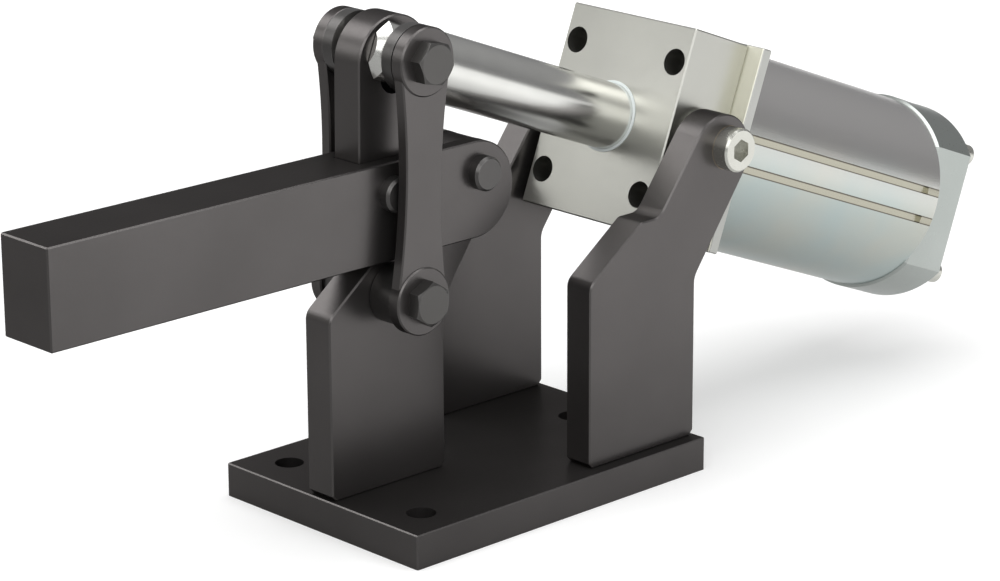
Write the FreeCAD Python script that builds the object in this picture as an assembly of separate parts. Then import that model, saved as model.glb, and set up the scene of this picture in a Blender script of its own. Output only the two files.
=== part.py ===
import FreeCAD
import Part
import math
import os

# Pneumatic power clamp: a toggle clamp driven by a swinging air cylinder.
# Millimetres. Origin under the middle of the base plate, X to the rear, Z up,
# the left side of the clamp at minus Y. The clamp is closed.

V = FreeCAD.Vector
os.makedirs("parts", exist_ok=True)

# Clearances
pin_gap = 0.05
slide_gap = 0.3
slack = 0.5

# Base plate
base_length = 142.0
base_width = 101.0
base_thickness = 12.5
base_edge_break = 0.4
mounting_hole_radius = 5.25
front_hole_inset = 16.0
front_hole_spread = 70.0
rear_hole_inset = 18.0

# Pivots in the side view
arm_pivot_x = -4.5
arm_pivot_z = 120.0
lever_pin_rise = 0.5
bottom_pivot_x = -41.5
bottom_pivot_z = 83.0
top_pivot_shift = 3.0
link_height = 84.0
trunnion_x = 86.5
trunnion_z = 118.0

# Pivot hardware
pivot_radius = 5.0
bush_wall = 2.0
pin_head_radius = 6.25
pin_head_height = 4.4
pin_head_chamfer = 0.9
ring_width = 1.2
ring_wall = 2.6
ring_groove_depth = 0.5
ring_mouth = 6.0
pin_tail = 1.2
hex_across_flats = 14.0
hex_head_height = 5.1
hex_chamfer = 1.1
hex_face_radius = 6.7
top_hex_turn = 48.0
bottom_hex_turn = 26.0
bolt_tail = 1.4

# Web plate
web_thickness = 13.0
web_front_wall = 28.9
web_rear_wall = 24.2
web_corner_drop = 4.0
web_shelf_rise = 15.8
web_shelf_front = 3.2
web_shelf_length = 9.1
web_eye_radius = 14.5
web_eye_shift = 0.5
web_eye_drop = 3.5
web_neck_drop = 8.5
web_rear_blend = 36.0

# Side plates
side_thickness = 12.0
side_inner_y = 33.5
side_front_gap = 69.9
side_rear_gap = 16.4
side_corner_drop = 37.4
side_shelf_drop = 19.2
side_shelf_front = 44.4
side_shelf_length = 9.4
side_eye_radius = 14.9
side_eye_shift = 3.2
side_eye_drop = 2.3
side_neck_drop = 45.3
side_rear_blend = 7.0

# What web and side plates share
shoulder_radius = 5.0
shelf_corner_radius = 3.0
neck_root_radius = 6.0
foot_chamfer = 2.0
plate_edge_break = 0.5
foot_screw_radius = 4.0
foot_screw_head_radius = 8.0
foot_screw_spacing = 26.0
foot_screw_depth = 14.0

# Clamp arm
arm_width = 25.0
arm_above = 11.5
arm_below = 23.5
arm_reach = 187.0
arm_tail = 15.5
arm_slot_length = 51.8
arm_slot_room = 0.4
arm_edge_break = 0.5

# Toggle lever
lever_top_radius = 16.3
lever_top_drop = 2.5
lever_foot_radius = 9.9
lever_slot_travel = 7.5
lever_slot_side = 1.2
lever_slot_offset = 0.4

# Toggle links
link_inner_y = 17.5
link_thickness = 4.7
link_boss_radius = 12.1
link_boss_step = 0.7
link_waist = 8.1
link_root = 11.6
link_edge_break = 0.5
bottom_spacer_radius = 10.6

# Piston rod, measured from the top pivot
rod_radius = 12.25
rod_tip_ahead = 11.4
rod_tip_radius = 8.6
rod_cone_ahead = 7.2
fork_depth = 21.0
fork_hole_up = 4.1
fork_hole_down = 2.6
fork_hole_side = 0.5
rod_tail_radius = 8.0

# Cylinder head: bearing block and front cover
block_ahead = 16.75
block_length = 30.0
block_width = 62.0
block_height = 76.4
cover_length = 4.9
cover_width = 76.8
cover_height = 77.0
head_edge_break = 0.5
head_screw_spread = 1.4
counterbore_radius = 4.9
counterbore_depth = 17.0
screw_radius = 2.5
screw_head_radius = 4.25
screw_head_height = 5.0
screw_grip = 10.0
wiper_wall = 1.0
wiper_length = 4.0
wiper_stand = 0.4
seal_wall = 3.6
seal_length = 3.5
bush_length = 12.0
rod_bush_wall = 1.9
chamber_radius = 16.0

# Tube and rear cap
tube_radius = 38.0
bore_radius = 30.0
tube_length = 119.6
cap_radius = 39.0
cap_length = 23.0
cap_flat_width = 62.0
cap_edge_break = 0.9
nut_recess_radius = 15.0
nut_recess_depth = 14.0
spigot_length = 6.0
end_seal_width = 2.4
end_seal_depth = 1.9
bumper_inner_radius = 18.0
bumper_outer_radius = 25.0
bumper_length = 2.0
groove_width = 3.0
groove_depth = 1.5
groove_centre = 5.75
groove_end = 7.0

# Air ports
port_radius = 5.75
port_depth = 11.0
port_from_joint = 7.8
port_passage_radius = 2.5
cap_port_from_joint = 12.0
cap_port_face = 1.0

# Piston
piston_radius = 29.7
piston_length = 28.0
piston_rest_gap = 6.0
piston_seal_width = 4.0
piston_seal_wall = 4.0
piston_seal_inset = 3.5
guide_width = 6.0
guide_wall = 1.8
magnet_width = 4.0
magnet_wall = 4.5
nut_length = 8.0
nut_across_flats = 24.0

# Trunnion screws
trunnion_radius = 6.0
trunnion_thread_radius = 5.0
trunnion_thread_length = 13.5
trunnion_head_radius = 8.0
trunnion_head_height = 6.5
trunnion_head_chamfer = 0.7
socket_across_flats = 7.4
socket_depth = 4.0
washer_radius = 11.0

# Places worked out from the sizes above
lever_pin_ahead = arm_slot_length - lever_foot_radius - arm_slot_room
lever_pin_x = arm_pivot_x - lever_pin_ahead
lever_pin_z = arm_pivot_z + lever_pin_rise
top_pivot_x = bottom_pivot_x + top_pivot_shift
top_pivot_z = bottom_pivot_z + link_height
bore_fit = pivot_radius + pin_gap
bush_radius = bore_fit + bush_wall
web_half = web_thickness / 2
slot_half = web_half + slide_gap
arm_half = arm_width / 2
rod_reach = math.hypot(trunnion_x - top_pivot_x, top_pivot_z - trunnion_z)
rod_tilt = math.degrees(math.atan2(top_pivot_z - trunnion_z, trunnion_x - top_pivot_x))
block_front = -block_ahead
block_rear = block_front + block_length
cover_rear = block_rear + cover_length
tube_rear = cover_rear + tube_length
cap_rear = tube_rear + cap_length
spigot_radius = bore_radius - pin_gap
cap_screw_spacing = (bore_radius + tube_radius) / math.sqrt(2)
head_screw_spacing = cap_screw_spacing + head_screw_spread
front_spigot_end = cover_rear + spigot_length
rear_spigot_end = tube_rear - spigot_length
piston_front = front_spigot_end + bumper_length + piston_rest_gap
piston_rear = piston_front + piston_length
rod_fit = rod_radius + pin_gap
block_half = block_width / 2
side_outer_y = side_inner_y + side_thickness
link_outer_y = link_inner_y + link_thickness
link_boss_y = link_outer_y + link_boss_step
top_spacer_inner_y = rod_radius + slack

along_rod = FreeCAD.Placement(
    V(trunnion_x, 0, trunnion_z), FreeCAD.Rotation(V(0, 1, 0), rod_tilt)
)


# Shapes used by several pieces

def upright(x, z, lean_x, lean_z):
    """Placement of a piece drawn along Z that leans by lean_x over lean_z."""
    lean = math.degrees(math.atan2(lean_x, lean_z))
    return FreeCAD.Placement(V(x, 0, z), FreeCAD.Rotation(V(0, 1, 0), lean))


def placed(shape, placement):
    """The shape moved from its drawing position to its place."""
    moved = shape.copy()
    moved.Placement = placement.multiply(moved.Placement)
    return moved


def rod_y(radius, y_from, y_to, x=0.0, z=0.0):
    """Round bar across the clamp."""
    return Part.makeCylinder(radius, y_to - y_from, V(x, y_from, z), V(0, 1, 0))


def rod_x(radius, x_from, x_to, y=0.0, z=0.0):
    """Round bar along the cylinder axis."""
    return Part.makeCylinder(radius, x_to - x_from, V(x_from, y, z), V(1, 0, 0))


def ring_x(inner, outer, x_from, x_to):
    """Ring about the cylinder axis."""
    return rod_x(outer, x_from, x_to).cut(rod_x(inner, x_from, x_to))


def ring_y(inner, outer, y_from, y_to, x=0.0, z=0.0):
    """Ring about a pivot."""
    return rod_y(outer, y_from, y_to, x, z).cut(rod_y(inner, y_from, y_to, x, z))


def hexagon_y(across_flats, y_from, y_to, x, z, first_corner):
    """Hexagonal bar across the clamp, its first corner turned up from the rear."""
    corner = across_flats / math.sqrt(3)
    points = []
    for step in range(7):
        turn = math.radians(first_corner + 60 * step)
        points.append(V(x + corner * math.cos(turn), y_from, z + corner * math.sin(turn)))
    face = Part.Face(Part.makePolygon(points))
    return face.extrude(V(0, y_to - y_from, 0))


def turned_y(profile, x, z):
    """Solid turned about a pivot from (y, radius) points."""
    points = [V(x + radius, y, z) for y, radius in profile]
    points.append(points[0])
    face = Part.Face(Part.makePolygon(points))
    return face.revolve(V(x, 0, z), V(0, 1, 0), 360)


def corner_path(points):
    """Edges in the side view through (x, z, radius) points, inner corners rounded."""
    edges = []
    start = V(points[0][0], 0, points[0][1])
    for before, corner, after in zip(points, points[1:], points[2:]):
        tip = V(corner[0], 0, corner[1])
        back = (V(before[0], 0, before[1]) - tip).normalize()
        forth = (V(after[0], 0, after[1]) - tip).normalize()
        if corner[2] > 0:
            half = back.getAngle(forth) / 2
            leg = corner[2] / math.tan(half)
            centre = tip + (back + forth).normalize() * (corner[2] / math.sin(half))
            middle = centre + (tip - centre).normalize() * corner[2]
            arc_start = tip + back * leg
            arc_end = tip + forth * leg
            edges.append(Part.makeLine(start, arc_start))
            edges.append(Part.Arc(arc_start, middle, arc_end).toShape())
            start = arc_end
        else:
            edges.append(Part.makeLine(start, tip))
            start = tip
    edges.append(Part.makeLine(start, V(points[-1][0], 0, points[-1][1])))
    return edges


def slab(edges, y_from, y_to):
    """Flat plate with the outline given by edges in the side view."""
    face = Part.Face(Part.Wire(Part.__sortEdges__(edges)))
    solid = face.extrude(V(0, y_to - y_from, 0))
    solid.translate(V(0, y_from, 0))
    return solid


def outline_edges(solid, y_low, y_high):
    """Edges of a plate that lie in its two faces."""
    found = []
    for edge in solid.Edges:
        box = edge.BoundBox
        flat = box.YLength < 0.001
        on_face = abs(box.YMin - y_low) < 0.001 or abs(box.YMin - y_high) < 0.001
        if flat and on_face:
            found.append(edge)
    return found


def eased_slab(edges, y_from, y_to, size):
    """Plate with its outline edges broken on both faces."""
    solid = slab(edges, y_from, y_to)
    return solid.makeChamfer(size, outline_edges(solid, y_from, y_to))


# Base plate and the plates that stand on it

def mounting_hole_places():
    """Two holes at the front and one behind, between the side plates."""
    front_x = -base_length / 2 + front_hole_inset
    rear_x = base_length / 2 - rear_hole_inset
    half = front_hole_spread / 2
    return [(front_x, -half), (front_x, half), (rear_x, 0.0)]


def foot_screw_places():
    """Two countersunk screws under the web and two under each side plate."""
    web_x = bottom_pivot_x + (web_rear_wall - web_front_wall) / 2
    side_x = trunnion_x - (side_front_gap + side_rear_gap) / 2
    side_y = side_inner_y + side_thickness / 2
    places = []
    for middle_x, middle_y in ((web_x, 0.0), (side_x, -side_y), (side_x, side_y)):
        for offset in (-foot_screw_spacing / 2, foot_screw_spacing / 2):
            places.append((middle_x + offset, middle_y))
    return places


def foot_screw(x, y, gap):
    """Countersunk screw from below, or its hole when a gap is given."""
    head_depth = foot_screw_head_radius - foot_screw_radius
    head = Part.makeCone(foot_screw_head_radius + gap, foot_screw_radius + gap, head_depth, V(x, y, 0))
    shank = Part.makeCylinder(foot_screw_radius + gap, base_thickness, V(x, y, 0))
    return head.fuse(shank)


def foot_thread(x, y):
    """The threaded end of a foot screw inside its plate."""
    return Part.makeCylinder(foot_screw_radius, foot_screw_depth, V(x, y, base_thickness))


def make_base_plate():
    plate = Part.makeBox(base_length, base_width, base_thickness, V(-base_length / 2, -base_width / 2, 0))
    outer = [edge for edge in plate.Edges if edge.BoundBox.ZMin > base_thickness / 2 or edge.BoundBox.ZLength > 1]
    plate = plate.makeChamfer(base_edge_break, outer)
    for x, y in mounting_hole_places():
        plate = plate.cut(Part.makeCylinder(mounting_hole_radius, base_thickness, V(x, y, 0)))
    for x, y in foot_screw_places():
        plate = plate.cut(foot_screw(x, y, pin_gap))
    return plate


def make_foot_screws():
    screws = [foot_screw(x, y, 0.0).fuse(foot_thread(x, y)).removeSplitter() for x, y in foot_screw_places()]
    return Part.makeCompound(screws)


def tangent_point(x, z, eye_x, eye_z, radius, side):
    """Where a line from a point touches a round eye, above (1) or below (-1) it."""
    distance = math.hypot(eye_x - x, eye_z - z)
    turn = math.atan2(eye_z - z, eye_x - x) + side * math.asin(radius / distance)
    length = math.sqrt(distance ** 2 - radius ** 2)
    return x + length * math.cos(turn), z + length * math.sin(turn), turn


def stepped_outline(front_x, rear_x, corner_z, shelf_x, shelf_length, shelf_z, neck_z, eye, blend):
    """Outline of a plate with a sloped shoulder, a shelf and a slanted neck to a round eye."""
    eye_x, eye_z, eye_radius = eye
    shelf_end = shelf_x + shelf_length
    upper_x, upper_z, upper_turn = tangent_point(shelf_end, shelf_z, eye_x, eye_z, eye_radius, 1)
    lower_x, lower_z, lower_turn = tangent_point(rear_x, neck_z, eye_x, eye_z, eye_radius, -1)
    path = corner_path([
        (lower_x, lower_z, 0),
        (rear_x, neck_z, blend),
        (rear_x, base_thickness + foot_chamfer, 0),
        (rear_x - foot_chamfer, base_thickness, 0),
        (front_x + foot_chamfer, base_thickness, 0),
        (front_x, base_thickness + foot_chamfer, 0),
        (front_x, corner_z, shoulder_radius),
        (shelf_x, shelf_z, shelf_corner_radius),
        (shelf_end, shelf_z, neck_root_radius),
        (upper_x, upper_z, 0),
    ])
    turn = (upper_turn + lower_turn) / 2
    far = V(eye_x + eye_radius * math.cos(turn), 0, eye_z + eye_radius * math.sin(turn))
    path.append(Part.Arc(V(upper_x, 0, upper_z), far, V(lower_x, 0, lower_z)).toShape())
    return path


def make_web_plate():
    front_x = bottom_pivot_x - web_front_wall
    rear_x = bottom_pivot_x + web_rear_wall
    eye = (arm_pivot_x - web_eye_shift, arm_pivot_z - web_eye_drop, web_eye_radius)
    path = stepped_outline(
        front_x, rear_x, bottom_pivot_z - web_corner_drop, bottom_pivot_x - web_shelf_front,
        web_shelf_length, bottom_pivot_z + web_shelf_rise, bottom_pivot_z - web_neck_drop,
        eye, web_rear_blend)
    web = eased_slab(path, -web_half, web_half, plate_edge_break)
    for x, z in ((bottom_pivot_x, bottom_pivot_z), (arm_pivot_x, arm_pivot_z)):
        web = web.cut(rod_y(bush_radius, -web_half, web_half, x, z))
    for x, y in foot_screw_places()[:2]:
        web = web.cut(foot_thread(x, y))
    return web


def make_side_plate(side):
    """Side plate on the left (-1) or the right (1)."""
    eye = (trunnion_x - side_eye_shift, trunnion_z - side_eye_drop, side_eye_radius)
    path = stepped_outline(
        trunnion_x - side_front_gap, trunnion_x - side_rear_gap, trunnion_z - side_corner_drop,
        trunnion_x - side_shelf_front, side_shelf_length, trunnion_z - side_shelf_drop,
        trunnion_z - side_neck_drop, eye, side_rear_blend)
    y_low, y_high = sorted((side * side_inner_y, side * side_outer_y))
    plate = eased_slab(path, y_low, y_high, plate_edge_break)
    bore = trunnion_radius + pin_gap + bush_wall
    plate = plate.cut(rod_y(bore, y_low, y_high, trunnion_x, trunnion_z))
    for x, y in foot_screw_places()[2:]:
        plate = plate.cut(foot_thread(x, y))
    return plate


def make_trunnion_bushes():
    inner = trunnion_radius + pin_gap
    rings = []
    for y_low, y_high in ((-side_outer_y, -side_inner_y), (side_inner_y, side_outer_y)):
        rings.append(ring_y(inner, inner + bush_wall, y_low, y_high, trunnion_x, trunnion_z))
    return Part.makeCompound(rings)


def make_bush(x, z):
    return ring_y(bore_fit, bush_radius, -web_half, web_half, x, z)


# Clamp arm, its two pins and their retaining rings

def make_clamp_arm():
    top = arm_pivot_z + arm_above
    bottom = arm_pivot_z - arm_below
    front = arm_pivot_x - arm_reach
    rear = arm_pivot_x + arm_tail
    round_x = rear - (top - bottom) / 2
    path = [
        Part.makeLine(V(round_x, 0, bottom), V(front, 0, bottom)),
        Part.makeLine(V(front, 0, bottom), V(front, 0, top)),
        Part.makeLine(V(front, 0, top), V(round_x, 0, top)),
        Part.Arc(V(round_x, 0, top), V(rear, 0, (top + bottom) / 2), V(round_x, 0, bottom)).toShape(),
    ]
    arm = slab(path, -arm_half, arm_half)
    sharp = outline_edges(arm, -arm_half, arm_half)
    sharp += [edge for edge in arm.Edges if edge.BoundBox.XMax < front + 0.001 and edge.BoundBox.YLength > 1]
    arm = arm.makeChamfer(arm_edge_break, sharp)
    slot_front = arm_pivot_x - arm_slot_length
    slot = Part.makeBox(rear - slot_front, 2 * slot_half, top - bottom, V(slot_front, -slot_half, bottom))
    arm = arm.cut(slot)
    for x, z in ((arm_pivot_x, arm_pivot_z), (lever_pin_x, lever_pin_z)):
        arm = arm.cut(rod_y(pivot_radius, -arm_half, arm_half, x, z))
    return arm


def make_pin(x, z):
    """Headed pin through the arm with a groove for its ring."""
    ring_y_low = arm_half + slide_gap
    ring_y_high = ring_y_low + ring_width
    groove = pivot_radius - ring_groove_depth
    head = arm_half + pin_head_height
    return turned_y([
        (-head, 0), (-head, pin_head_radius - pin_head_chamfer), (-head + pin_head_chamfer, pin_head_radius),
        (-arm_half, pin_head_radius), (-arm_half, pivot_radius), (ring_y_low, pivot_radius),
        (ring_y_low, groove), (ring_y_high, groove), (ring_y_high, pivot_radius),
        (ring_y_high + pin_tail, pivot_radius), (ring_y_high + pin_tail, 0),
    ], x, z)


def make_pin_ring(x, z):
    """Open retaining ring in the groove of a pin."""
    low = arm_half + slide_gap
    high = low + ring_width
    inner = pivot_radius - ring_groove_depth
    ring = ring_y(inner, inner + ring_wall, low, high, x, z)
    mouth = Part.makeBox(ring_mouth, high - low, inner + ring_wall, V(x - ring_mouth / 2, low, z - inner - ring_wall))
    return ring.cut(mouth)


# Toggle lever, links, bolts and spacers

def make_toggle_lever():
    """Tapered plate from the lever pin up to the top bolt, which has play in it along the plate."""
    length = math.hypot(top_pivot_x - lever_pin_x, top_pivot_z - lever_pin_z)
    crown = length - lever_top_drop
    taper = math.asin((lever_top_radius - lever_foot_radius) / crown)
    foot_x = lever_foot_radius * math.cos(taper)
    foot_z = -lever_foot_radius * math.sin(taper)
    top_x = lever_top_radius * math.cos(taper)
    top_z = crown - lever_top_radius * math.sin(taper)
    path = [
        Part.Arc(V(foot_x, 0, foot_z), V(0, 0, -lever_foot_radius), V(-foot_x, 0, foot_z)).toShape(),
        Part.makeLine(V(-foot_x, 0, foot_z), V(-top_x, 0, top_z)),
        Part.Arc(V(-top_x, 0, top_z), V(0, 0, crown + lever_top_radius), V(top_x, 0, top_z)).toShape(),
        Part.makeLine(V(top_x, 0, top_z), V(foot_x, 0, foot_z)),
    ]
    lever = eased_slab(path, -web_half, web_half, plate_edge_break)
    lever = lever.cut(rod_y(bush_radius, -web_half, web_half))
    half = pivot_radius + lever_slot_side
    slot_foot = length - lever_slot_travel
    low = rod_y(half, -web_half, web_half, lever_slot_offset, slot_foot)
    high = rod_y(half, -web_half, web_half, lever_slot_offset, length)
    middle = Part.makeBox(
        2 * half, web_thickness, lever_slot_travel, V(lever_slot_offset - half, -web_half, slot_foot))
    lever = lever.cut(low.fuse(middle).fuse(high).removeSplitter())
    lean = upright(lever_pin_x, lever_pin_z, top_pivot_x - lever_pin_x, top_pivot_z - lever_pin_z)
    return placed(lever, lean)


def make_link(side):
    """Dog-bone link with raised round bosses, left (-1) or right (1)."""
    length = math.hypot(top_pivot_shift, link_height)
    y_low, y_high = sorted((side * link_inner_y, side * link_outer_y))
    boss_low, boss_high = sorted((side * link_inner_y, side * link_boss_y))
    path = [
        Part.Arc(V(link_root, 0, 0), V(link_waist, 0, length / 2), V(link_root, 0, length)).toShape(),
        Part.makeLine(V(link_root, 0, length), V(-link_root, 0, length)),
        Part.Arc(V(-link_root, 0, length), V(-link_waist, 0, length / 2), V(-link_root, 0, 0)).toShape(),
        Part.makeLine(V(-link_root, 0, 0), V(link_root, 0, 0)),
    ]
    link = eased_slab(path, y_low, y_high, link_edge_break)
    for z in (0, length):
        boss = rod_y(link_boss_radius, boss_low, boss_high, 0, z)
        boss = boss.makeChamfer(link_edge_break, outline_edges(boss, boss_low, boss_high))
        link = link.fuse(boss)
    for z in (0, length):
        link = link.cut(rod_y(pivot_radius, boss_low, boss_high, 0, z))
    lean = upright(bottom_pivot_x, bottom_pivot_z, top_pivot_shift, link_height)
    return placed(link, lean)


def chamfered_hexagon(y_face, direction, x, z, turn):
    """Hexagon standing off a face along Y, its outer corners turned down."""
    y_end = y_face + direction * hex_head_height
    low, high = sorted((y_face, y_end))
    corner = hex_across_flats / math.sqrt(3)
    cap = turned_y([
        (y_face, 0), (y_face, corner + slack), (y_end - direction * hex_chamfer, corner + slack),
        (y_end, hex_face_radius), (y_end, 0),
    ], x, z)
    return hexagon_y(hex_across_flats, low, high, x, z, turn).common(cap)


def make_bolt(x, z, turn):
    head = chamfered_hexagon(-link_boss_y, -1, x, z, turn)
    shank = rod_y(pivot_radius, -link_boss_y, link_boss_y + hex_head_height + bolt_tail, x, z)
    return head.fuse(shank)


def make_nut(x, z, turn):
    nut = chamfered_hexagon(link_boss_y, 1, x, z, turn)
    return nut.cut(rod_y(pivot_radius, link_boss_y, link_boss_y + hex_head_height, x, z))


def make_spacers(radius, inner_y, x, z):
    """Pair of spacer rings that bear on the inner faces of the links."""
    left = ring_y(bore_fit, radius, -link_inner_y, -inner_y, x, z)
    right = ring_y(bore_fit, radius, inner_y, link_inner_y, x, z)
    return Part.makeCompound([left, right])


# Piston rod, its bearing and its seals, drawn along X from the trunnion axis

def make_piston_rod():
    pivot = -rod_reach
    tip = pivot - rod_tip_ahead
    tail = piston_rear + nut_length
    points = [
        V(tip, 0, 0), V(tip, 0, rod_tip_radius), V(pivot - rod_cone_ahead, 0, rod_radius),
        V(piston_front, 0, rod_radius), V(piston_front, 0, rod_tail_radius), V(tail, 0, rod_tail_radius),
        V(tail, 0, 0), V(tip, 0, 0),
    ]
    rod = Part.Face(Part.makePolygon(points)).revolve(V(0, 0, 0), V(1, 0, 0), 360)
    slot = Part.makeBox(rod_tip_ahead + fork_depth, 2 * slot_half, 2 * rod_radius, V(tip, -slot_half, -rod_radius))
    rod = rod.cut(slot)
    half = bore_fit + fork_hole_side
    low = rod_y(half, -rod_radius, rod_radius, pivot, -fork_hole_down)
    high = rod_y(half, -rod_radius, rod_radius, pivot, fork_hole_up)
    middle = Part.makeBox(
        2 * half, 2 * rod_radius, fork_hole_up + fork_hole_down, V(pivot - half, -rod_radius, -fork_hole_down))
    rod = rod.cut(low.fuse(middle).fuse(high).removeSplitter())
    return placed(rod, along_rod)


def make_rod_wiper():
    ring = ring_x(rod_fit, rod_fit + wiper_wall, block_front - wiper_stand, block_front + wiper_length)
    return placed(ring, along_rod)


def make_rod_seal():
    start = block_front + wiper_length
    return placed(ring_x(rod_fit, rod_fit + seal_wall, start, start + seal_length), along_rod)


def make_rod_bush():
    start = block_front + wiper_length + seal_length
    return placed(ring_x(rod_fit, rod_fit + rod_bush_wall, start, start + bush_length), along_rod)


# Cylinder head

def square_places(spacing):
    half = spacing / 2
    return [(y, z) for y in (-half, half) for z in (-half, half)]


def eased_block(x_from, x_to, width, height, size):
    """Rectangular plate across the cylinder axis with broken edges."""
    block = Part.makeBox(x_to - x_from, width, height, V(x_from, -width / 2, -height / 2))
    return block.makeChamfer(size, block.Edges)


def air_port(x, z_top, z_chamber):
    """Threaded port from above with a narrow passage down to the chamber."""
    port = Part.makeCylinder(port_radius, port_depth, V(x, 0, z_top - port_depth))
    passage = Part.makeCylinder(port_passage_radius, z_top - z_chamber, V(x, 0, z_chamber))
    return port.fuse(passage)


def make_trunnion_block():
    block = eased_block(block_front, block_rear, block_width, block_height, head_edge_break)
    wiper_end = block_front + wiper_length
    seal_end = wiper_end + seal_length
    bush_end = seal_end + bush_length
    block = block.cut(rod_x(rod_fit + wiper_wall, block_front, wiper_end))
    block = block.cut(rod_x(rod_fit + seal_wall, wiper_end, seal_end))
    block = block.cut(rod_x(rod_fit + rod_bush_wall, seal_end, bush_end))
    block = block.cut(rod_x(chamber_radius, bush_end, block_rear))
    for y, z in square_places(head_screw_spacing):
        block = block.cut(rod_x(counterbore_radius, block_front, block_front + counterbore_depth, y, z))
        block = block.cut(rod_x(screw_radius, block_front, block_rear, y, z))
    block = block.cut(air_port(block_rear - port_from_joint, block_height / 2, chamber_radius - slack))
    thread_end = block_half - trunnion_thread_length
    block = block.cut(rod_y(trunnion_thread_radius, -block_half, -thread_end))
    block = block.cut(rod_y(trunnion_thread_radius, thread_end, block_half))
    return placed(block, along_rod)


def spigot(x_from, x_to, bore):
    """Spigot that centres the tube, grooved for its seal."""
    body = ring_x(bore, spigot_radius, x_from, x_to)
    middle = (x_from + x_to) / 2
    groove = ring_x(
        spigot_radius - end_seal_depth, spigot_radius, middle - end_seal_width / 2, middle + end_seal_width / 2)
    return body.cut(groove)


def make_front_cover():
    """Square plate, wider than the block, that carries the tube on its spigot."""
    cover = eased_block(block_rear, cover_rear, cover_width, cover_height, head_edge_break)
    cover = cover.cut(rod_x(chamber_radius, block_rear, cover_rear))
    for y, z in square_places(head_screw_spacing):
        cover = cover.cut(rod_x(screw_radius, block_rear, cover_rear, y, z))
    cover = cover.fuse(spigot(cover_rear, front_spigot_end, chamber_radius))
    return placed(cover, along_rod)


def make_head_screws():
    """Cap screws deep in the counterbores, through the head into the tube."""
    seat = block_front + counterbore_depth
    end = cover_rear + screw_grip
    screws = []
    for y, z in square_places(head_screw_spacing):
        head = rod_x(screw_head_radius, seat - screw_head_height, seat, y, z)
        screws.append(head.fuse(rod_x(screw_radius, seat, end, y, z)))
    return placed(Part.makeCompound(screws), along_rod)


# Tube, rear cap and what is inside them

def make_cylinder_tube():
    tube = ring_x(bore_radius, tube_radius, cover_rear, tube_rear)
    length = tube_length - groove_end
    for side in (-1, 1):
        for z in (-groove_centre, groove_centre):
            middle_y = side * math.sqrt(tube_radius ** 2 - z ** 2)
            groove = Part.makeBox(
                length, 2 * groove_depth, groove_width,
                V(cover_rear, middle_y - groove_depth, z - groove_width / 2))
            tube = tube.cut(groove)
    for y, z in square_places(head_screw_spacing):
        tube = tube.cut(rod_x(screw_radius, cover_rear, cover_rear + screw_grip, y, z))
    for y, z in square_places(cap_screw_spacing):
        tube = tube.cut(rod_x(screw_radius, tube_rear - screw_grip, tube_rear, y, z))
    return placed(tube, along_rod)


def make_rear_cap():
    cap = rod_x(cap_radius, tube_rear, cap_rear)
    cap = cap.common(Part.makeBox(
        cap_length, cap_flat_width, 2 * cap_radius, V(tube_rear, -cap_flat_width / 2, -cap_radius)))
    cap = cap.makeChamfer(cap_edge_break, [edge for edge in cap.Edges if edge.BoundBox.XLength < 0.001])
    cap = cap.fuse(spigot(rear_spigot_end, tube_rear, nut_recess_radius))
    cap = cap.cut(rod_x(nut_recess_radius, tube_rear, tube_rear + nut_recess_depth))
    for y, z in square_places(cap_screw_spacing):
        cap = cap.cut(rod_x(screw_radius, tube_rear, cap_rear, y, z))
    port_x = tube_rear + cap_port_from_joint
    seat_z = cap_radius - cap_port_face
    seat = Part.makeBox(2 * port_radius, 2 * port_radius, cap_port_face, V(port_x - port_radius, -port_radius, seat_z))
    cap = cap.cut(seat)
    cap = cap.cut(air_port(port_x, seat_z, nut_recess_radius - slack))
    return placed(cap, along_rod)


def make_cap_screws():
    """Cap screws whose heads stand on the rear face."""
    start = tube_rear - screw_grip
    screws = []
    for y, z in square_places(cap_screw_spacing):
        shank = rod_x(screw_radius, start, cap_rear, y, z)
        screws.append(shank.fuse(rod_x(screw_head_radius, cap_rear, cap_rear + screw_head_height, y, z)))
    return placed(Part.makeCompound(screws), along_rod)


def make_tube_seals():
    """End seals in the grooves of the two spigots."""
    seals = []
    for start, end in ((cover_rear, front_spigot_end), (rear_spigot_end, tube_rear)):
        middle = (start + end) / 2
        seals.append(ring_x(
            spigot_radius - end_seal_depth, bore_radius, middle - end_seal_width / 2, middle + end_seal_width / 2))
    return placed(Part.makeCompound(seals), along_rod)


def make_bumper(x_from):
    ring = ring_x(bumper_inner_radius, bumper_outer_radius, x_from, x_from + bumper_length)
    return placed(ring, along_rod)


def piston_grooves():
    """Start, width and depth of each groove of the piston, front to rear."""
    middle = (piston_front + piston_rear) / 2
    first = piston_front + piston_seal_inset
    last = piston_rear - piston_seal_inset - piston_seal_width
    guide = first + piston_seal_width + slack
    return {
        "seal": [(first, piston_seal_width, piston_seal_wall), (last, piston_seal_width, piston_seal_wall)],
        "guide": [(guide, guide_width, guide_wall)],
        "magnet": [(middle + slack, magnet_width, magnet_wall)],
    }


def make_piston():
    piston = ring_x(rod_tail_radius, piston_radius, piston_front, piston_rear)
    for grooves in piston_grooves().values():
        for start, width, depth in grooves:
            piston = piston.cut(ring_x(bore_radius - depth, bore_radius, start, start + width))
    return placed(piston, along_rod)


def make_piston_rings(kind, outer):
    rings = [ring_x(bore_radius - depth, outer, start, start + width)
             for start, width, depth in piston_grooves()[kind]]
    shape = rings[0] if len(rings) == 1 else Part.makeCompound(rings)
    return placed(shape, along_rod)


def make_piston_nut():
    corner = nut_across_flats / math.sqrt(3)
    points = []
    for step in range(7):
        turn = math.radians(60 * step)
        points.append(V(piston_rear, corner * math.cos(turn), corner * math.sin(turn)))
    nut = Part.Face(Part.makePolygon(points)).extrude(V(nut_length, 0, 0))
    return placed(nut.cut(rod_x(rod_tail_radius, piston_rear, piston_rear + nut_length)), along_rod)


# Trunnions that carry the cylinder

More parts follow.
